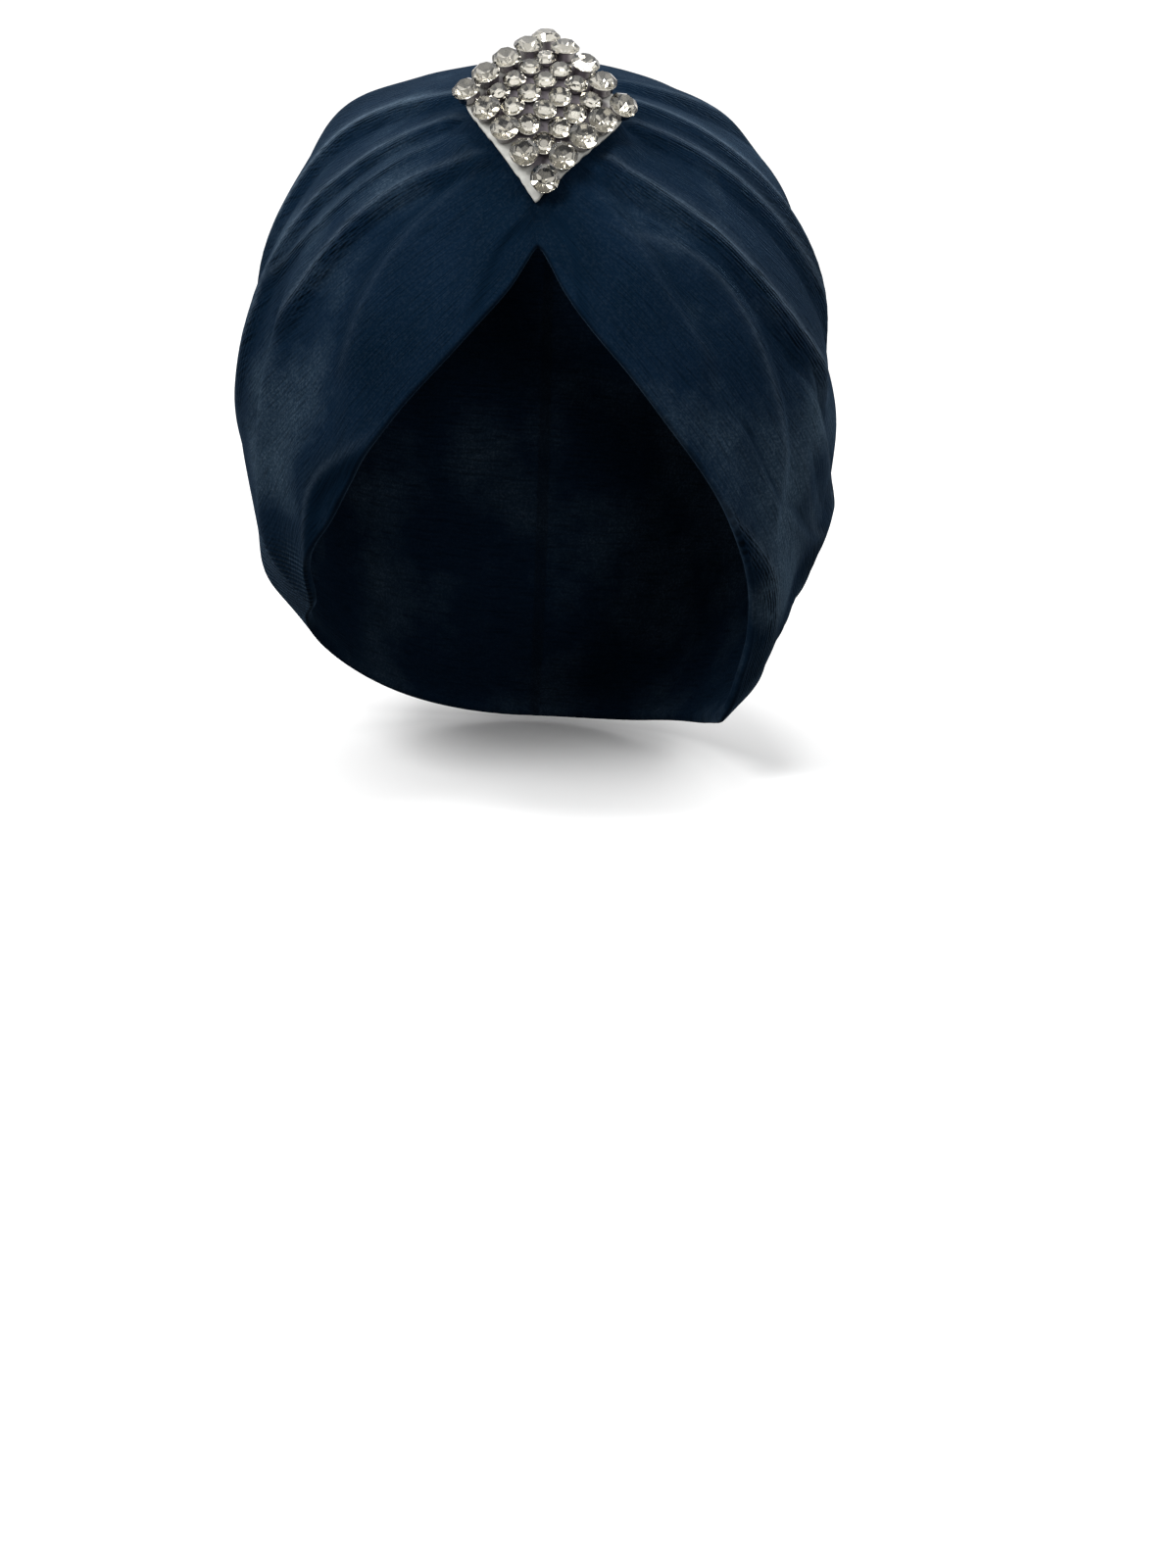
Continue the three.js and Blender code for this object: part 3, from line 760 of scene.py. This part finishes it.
# Frame on the backing's outer face: its place and axes at a point across and along the rhombus.
def seat_frame(across, along):
    roll = math.radians(APPLIQUE_ROLL)
    x = across * math.cos(roll) + along * math.sin(roll)
    up = along * math.cos(roll) - across * (math.sin(roll) + APPLIQUE_SKEW)
    bend = math.radians(BEND_MIDDLE) + up / BEND_RADIUS
    lean = x / CROSS_RADIUS
    straight = Vector((0, -math.cos(bend), math.sin(bend)))
    tangent = Vector((0, math.sin(bend), math.cos(bend)))
    normal = straight * math.cos(lean) + Vector((math.sin(lean), 0, 0))
    side = tangent.cross(normal)
    radius = BEND_RADIUS - x * x / (2 * CROSS_RADIUS)
    place = straight * radius + Vector((APPLIQUE_X + x, BEND_CENTRE_Y, BEND_CENTRE_Z))
    basis = Matrix((side, tangent, normal)).transposed().to_4x4()
    return Matrix.Translation(place) @ basis


# The backing: its darker grey middle ends in shares of the half width, and its edge is trimmed a little
# raggedly.
GREY_FULL = 0.72
GREY_FADE = 0.12
RAGGED_SHARE = 0.02
RAGGED_PITCH = 9
RAGGED_POWER = 6


def applique_backing():
    bm = bmesh.new()
    bmesh.ops.create_grid(bm, x_segments=BACKING_GRID, y_segments=BACKING_GRID, size=1.0)
    grey_layer = bm.verts.layers.float.new("middle_grey")
    for vert in bm.verts:
        s, t = vert.co[0], vert.co[1]
        edge = max(abs(s), abs(t))
        vert[grey_layer] = 1 - min(max((edge - GREY_FULL) / GREY_FADE, 0), 1)
        ragged = 1 + RAGGED_SHARE * noise.noise(Vector((s, t, 0)) * RAGGED_PITCH) * edge**RAGGED_POWER
        s, t = s * ragged, t * ragged
        corner = ((s - t) / 2) ** 4
        along = (s + t) * BACKING_ALONG / 2 - BACKING_DROP * corner
        across = (s - t) * BACKING_ACROSS * (1 - BACKING_BLUNT * corner) / 2
        seat = seat_frame(across + BACKING_SKEW * along, along)
        vert.co = seat.translation * MM
    bmesh.ops.recalc_face_normals(bm, faces=bm.faces)
    bmesh.ops.solidify(bm, geom=bm.faces[:], thickness=BACKING_THICKNESS * MM)
    for face in bm.faces:
        face.smooth = True
    return new_piece("backing_sheet", bm, backing_felt())


# Cuts of a round brilliant: how many planes go round, their turn in shares of a step, the radius and height
# of a point on the plane in millimetres, and its slope in degrees, below zero where it faces down.
CUT_COLUMNS = ("count", "turn", "radius", "height", "slope")
CUTS_ROUND = 8
GIRDLE_SIDES = 32
CULET_ROOM = 0.2
UPPER_GIRDLE = 0.3
UPPER_STEEPER = 1.2
LOWER_GIRDLE = 0.15
PAVILION_SLOPE = -32
CUT_NEAR = 1e-5
STONE_WELD = 1e-4
FOILED_BELOW = -0.05
CRYSTAL, FOIL, PLATE = range(3)


def cut_stone(size):
    bm = bmesh.new()
    girdle, table, rim, top = size["girdle"], size["table"], size["rim"], size["top"]
    crown = top - rim
    depth = rim - SEAT_GAP - CULET_ROOM
    bmesh.ops.create_cone(
        bm, cap_ends=True, segments=GIRDLE_SIDES, radius1=girdle, radius2=girdle, depth=crown + depth
    )
    bmesh.ops.translate(bm, verts=bm.verts, vec=(0, 0, top - (crown + depth) / 2))
    main = math.degrees(math.atan2(crown, girdle - table))
    cuts = (
        (CUTS_ROUND, 0.0, table, top, main),
        (CUTS_ROUND, 0.5, girdle, rim + UPPER_GIRDLE, main * UPPER_STEEPER),
        (CUTS_ROUND, 0.5, girdle, rim - LOWER_GIRDLE, PAVILION_SLOPE),
    )
    for cut in rows(CUT_COLUMNS, cuts):
        slope = math.radians(cut["slope"])
        for k in range(cut["count"]):
            angle = 2 * math.pi * (k + cut["turn"]) / cut["count"]
            out = Vector((math.cos(angle), math.sin(angle), 0))
            normal = out * abs(math.sin(slope)) + Vector((0, 0, math.copysign(math.cos(slope), slope)))
            point = out * cut["radius"] + Vector((0, 0, cut["height"]))
            done = bmesh.ops.bisect_plane(
                bm,
                geom=bm.verts[:] + bm.edges[:] + bm.faces[:],
                dist=CUT_NEAR,
                plane_co=point,
                plane_no=normal,
                clear_outer=True,
            )
            facet = [g for g in done["geom_cut"] if isinstance(g, bmesh.types.BMEdge)]
            if facet:
                bmesh.ops.contextual_create(bm, geom=facet)
    bmesh.ops.remove_doubles(bm, verts=bm.verts, dist=STONE_WELD)
    bmesh.ops.recalc_face_normals(bm, faces=bm.faces)
    for face in bm.faces:
        face.material_index = FOIL if face.normal.z < FOILED_BELOW else CRYSTAL
    return bm


# A stone in its cup, set a little askew and a little off its place. The cup's foot is chamfered, and its lip
# starts and ends so far in from the girdle and down from the stone's rim.
CUP_SIDES = 24
CUP_CHAMFER = 0.3
LIP_START = (0.25, 0.5)
LIP_END = (0.02, 0.2)
STONE_TILT = 9.0
STONE_STRAY = 0.3
SWAY_PITCH = 0.9
SWAY_STEP = 7.3


def set_stone(name, node, size, across, along, finishes):
    bm = cut_stone(size)
    foot, girdle, rim = size["foot"], size["girdle"], size["rim"]
    profile = [
        (foot - CUP_CHAMFER, SEAT_GAP),
        (foot, SEAT_GAP + CUP_CHAMFER),
        (foot, size["cup"] - CUP_CHAMFER),
        (girdle - LIP_START[0], rim - LIP_START[1]),
        (girdle - LIP_END[0], rim - LIP_END[1]),
    ]
    verts = [bm.verts.new((r, 0, z)) for r, z in profile]
    edges = [bm.edges.new(pair) for pair in zip(verts, verts[1:])]
    before = set(bm.faces)
    bmesh.ops.spin(
        bm,
        geom=verts + edges,
        cent=(0, 0, 0),
        axis=(0, 0, 1),
        angle=2 * math.pi,
        steps=CUP_SIDES,
        use_merge=True,
    )
    wall = [face for face in bm.faces if face not in before]
    bmesh.ops.recalc_face_normals(bm, faces=wall)
    for face in wall:
        face.material_index = PLATE
        face.smooth = True
    sway = [noise.noise(Vector((across, along, k * SWAY_STEP)) * SWAY_PITCH) for k in range(5)]
    tilt = math.radians(STONE_TILT)
    askew = Euler((tilt * sway[0], tilt * sway[1], math.pi * sway[2])).to_matrix().to_4x4()
    seat = seat_frame(across + STONE_STRAY * sway[3], along + STONE_STRAY * sway[4]) @ askew
    bmesh.ops.transform(bm, matrix=Matrix.Scale(MM, 4) @ seat, verts=bm.verts)
    piece = new_piece(name, bm, *finishes)
    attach(piece, "root")
    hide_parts(node)


# The stones of a rhombus grid, each in the place of its node.
def stone_grid(prefix, size, per_edge, share, finishes):
    def place(i):
        return 2 * i / (per_edge - 1) - 1

    for row in range(per_edge):
        for column in range(per_edge):
            node = f"{prefix}_stone_{row + 1}_{column + 1}"
            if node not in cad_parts:
                continue
            across = (place(column) - place(row)) * HALF_ACROSS * share / 2
            along = (place(column) + place(row)) * HALF_ALONG * share / 2
            set_stone(f"{prefix}_chaton_{row + 1}_{column + 1}", node, size, across, along, finishes)


# Soft studio: bright above and behind, dim toward the viewer, over a pale floor that shows white.
FLOOR_RADIUS = 6.0
FLOOR_GAP = 0.0015
FLOOR_SIDES = 96
FLOOR_GREY = "#5c5c5c"
STUDIO_WHITE = "#ffffff"
SKY_FRONT = 0.10
SKY_BEHIND = 1.1
SKY_TURN = (-0.9, 0.1)
SKY_OVERHEAD = 0.4
OVERHEAD_FROM = 0.2
LAMP_COLUMNS = ("name", "place", "size", "power")
LAMPS = (
    ("key", (-0.7, -0.95, 0.95), 0.5, 15),
    ("top_front", (0.15, -0.5, 1.4), 0.22, 5),
    ("front", (0.6, -1.25, 0.7), 0.3, 4.5),
)


# Matt floor: white where the camera sees it, and grey in the light that it throws back.
def pale_floor():
    material, tree, shader = new_material("pale_floor")
    seen = add_node(tree, "ShaderNodeLightPath").outputs["Is Camera Ray"]
    grey, white = srgb(FLOOR_GREY), srgb(STUDIO_WHITE)
    shown = add_node(tree, "ShaderNodeMix", {0: seen, 6: grey, 7: white}, data_type="RGBA").outputs[2]
    fill_inputs(tree, shader, {"Base Color": shown, "Roughness": 1.0, "Specular IOR Level": 0.0})
    return material


def studio_floor():
    bm = bmesh.new()
    bmesh.ops.create_circle(bm, cap_ends=True, segments=FLOOR_SIDES, radius=FLOOR_RADIUS)
    bmesh.ops.translate(bm, verts=bm.verts, vec=(0, 0, cad_low.z - FLOOR_GAP))
    new_piece("floor", bm, pale_floor())


def studio_sky():
    world = bpy.data.worlds.new("soft_studio")
    bpy.context.scene.world = world
    world.use_nodes = True
    tree = world.node_tree
    toward = add_node(tree, "ShaderNodeTexCoord").outputs["Generated"]
    part = add_node(tree, "ShaderNodeSeparateXYZ", {"Vector": toward})
    turn = {"Value": part.outputs["Y"], "From Min": SKY_TURN[0], "From Max": SKY_TURN[1]}
    behind = add_node(tree, "ShaderNodeMapRange", {**turn, "To Min": SKY_FRONT, "To Max": SKY_BEHIND})
    above = add_node(
        tree,
        "ShaderNodeMapRange",
        {"Value": part.outputs["Z"], "From Min": OVERHEAD_FROM, "To Max": SKY_OVERHEAD},
    )
    sky = add_node(tree, "ShaderNodeMath", {0: behind, 1: above}, operation="ADD")
    seen = add_node(tree, "ShaderNodeLightPath").outputs["Is Camera Ray"]
    strength = add_node(tree, "ShaderNodeMix", {0: seen, 2: sky, 3: 1.0})
    fill_inputs(tree, tree.nodes["Background"], {"Color": srgb(STUDIO_WHITE), "Strength": strength})


def studio_lamps():
    for row in rows(LAMP_COLUMNS, LAMPS):
        data = bpy.data.lights.new(row["name"], "AREA")
        data.size = row["size"]
        data.energy = row["power"]
        lamp = bpy.data.objects.new(row["name"], data)
        lamp.location = row["place"]
        lamp.rotation_euler = (-Vector(row["place"])).to_track_quat("-Z", "Y").to_euler()
        bpy.context.scene.collection.objects.link(lamp)


def camera():
    a, e = math.radians(CAMERA_AZIMUTH), math.radians(CAMERA_ELEVATION)
    back = Vector((math.sin(a) * math.cos(e), -math.cos(a) * math.cos(e), math.sin(e)))
    focal = CAMERA_LENS / CAMERA_SENSOR * PICTURE[1]
    right = PICTURE[0] / 2 - ORIGIN_PIXEL[0]
    down = PICTURE[1] / 2 - ORIGIN_PIXEL[1]
    turn = (-back).to_track_quat("-Z", "Y").to_matrix().to_4x4()
    turn = turn @ Matrix.Rotation(math.radians(CAMERA_ROLL), 4, "Z")
    turn = turn @ Matrix.Rotation(-math.atan2(right, focal), 4, "Y")
    turn = turn @ Matrix.Rotation(-math.atan2(down, math.hypot(right, focal)), 4, "X")
    data = bpy.data.cameras.new("camera")
    data.sensor_width = CAMERA_SENSOR
    data.lens = CAMERA_LENS
    lens = bpy.data.objects.new("camera", data)
    lens.matrix_world = Matrix.Translation(back * CAMERA_DISTANCE) @ turn
    bpy.context.scene.collection.objects.link(lens)
    bpy.context.scene.camera = lens


bpy.context.scene.view_settings.view_transform = "Standard"
camera()
studio_floor()
studio_sky()
studio_lamps()

band = velour_band()
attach(band, "root")
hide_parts("velour_band")

backing = applique_backing()
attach(backing, "root")
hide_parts("applique_backing")

stone_finishes = (cut_crystal(), silver_foil(), nickel_plate())
stone_grid("outer", OUTER_STONE, STONES_PER_EDGE, 1.0, stone_finishes)
stone_grid("inner", INNER_STONE, INNER_PER_EDGE, INNER_SHARE, stone_finishes)
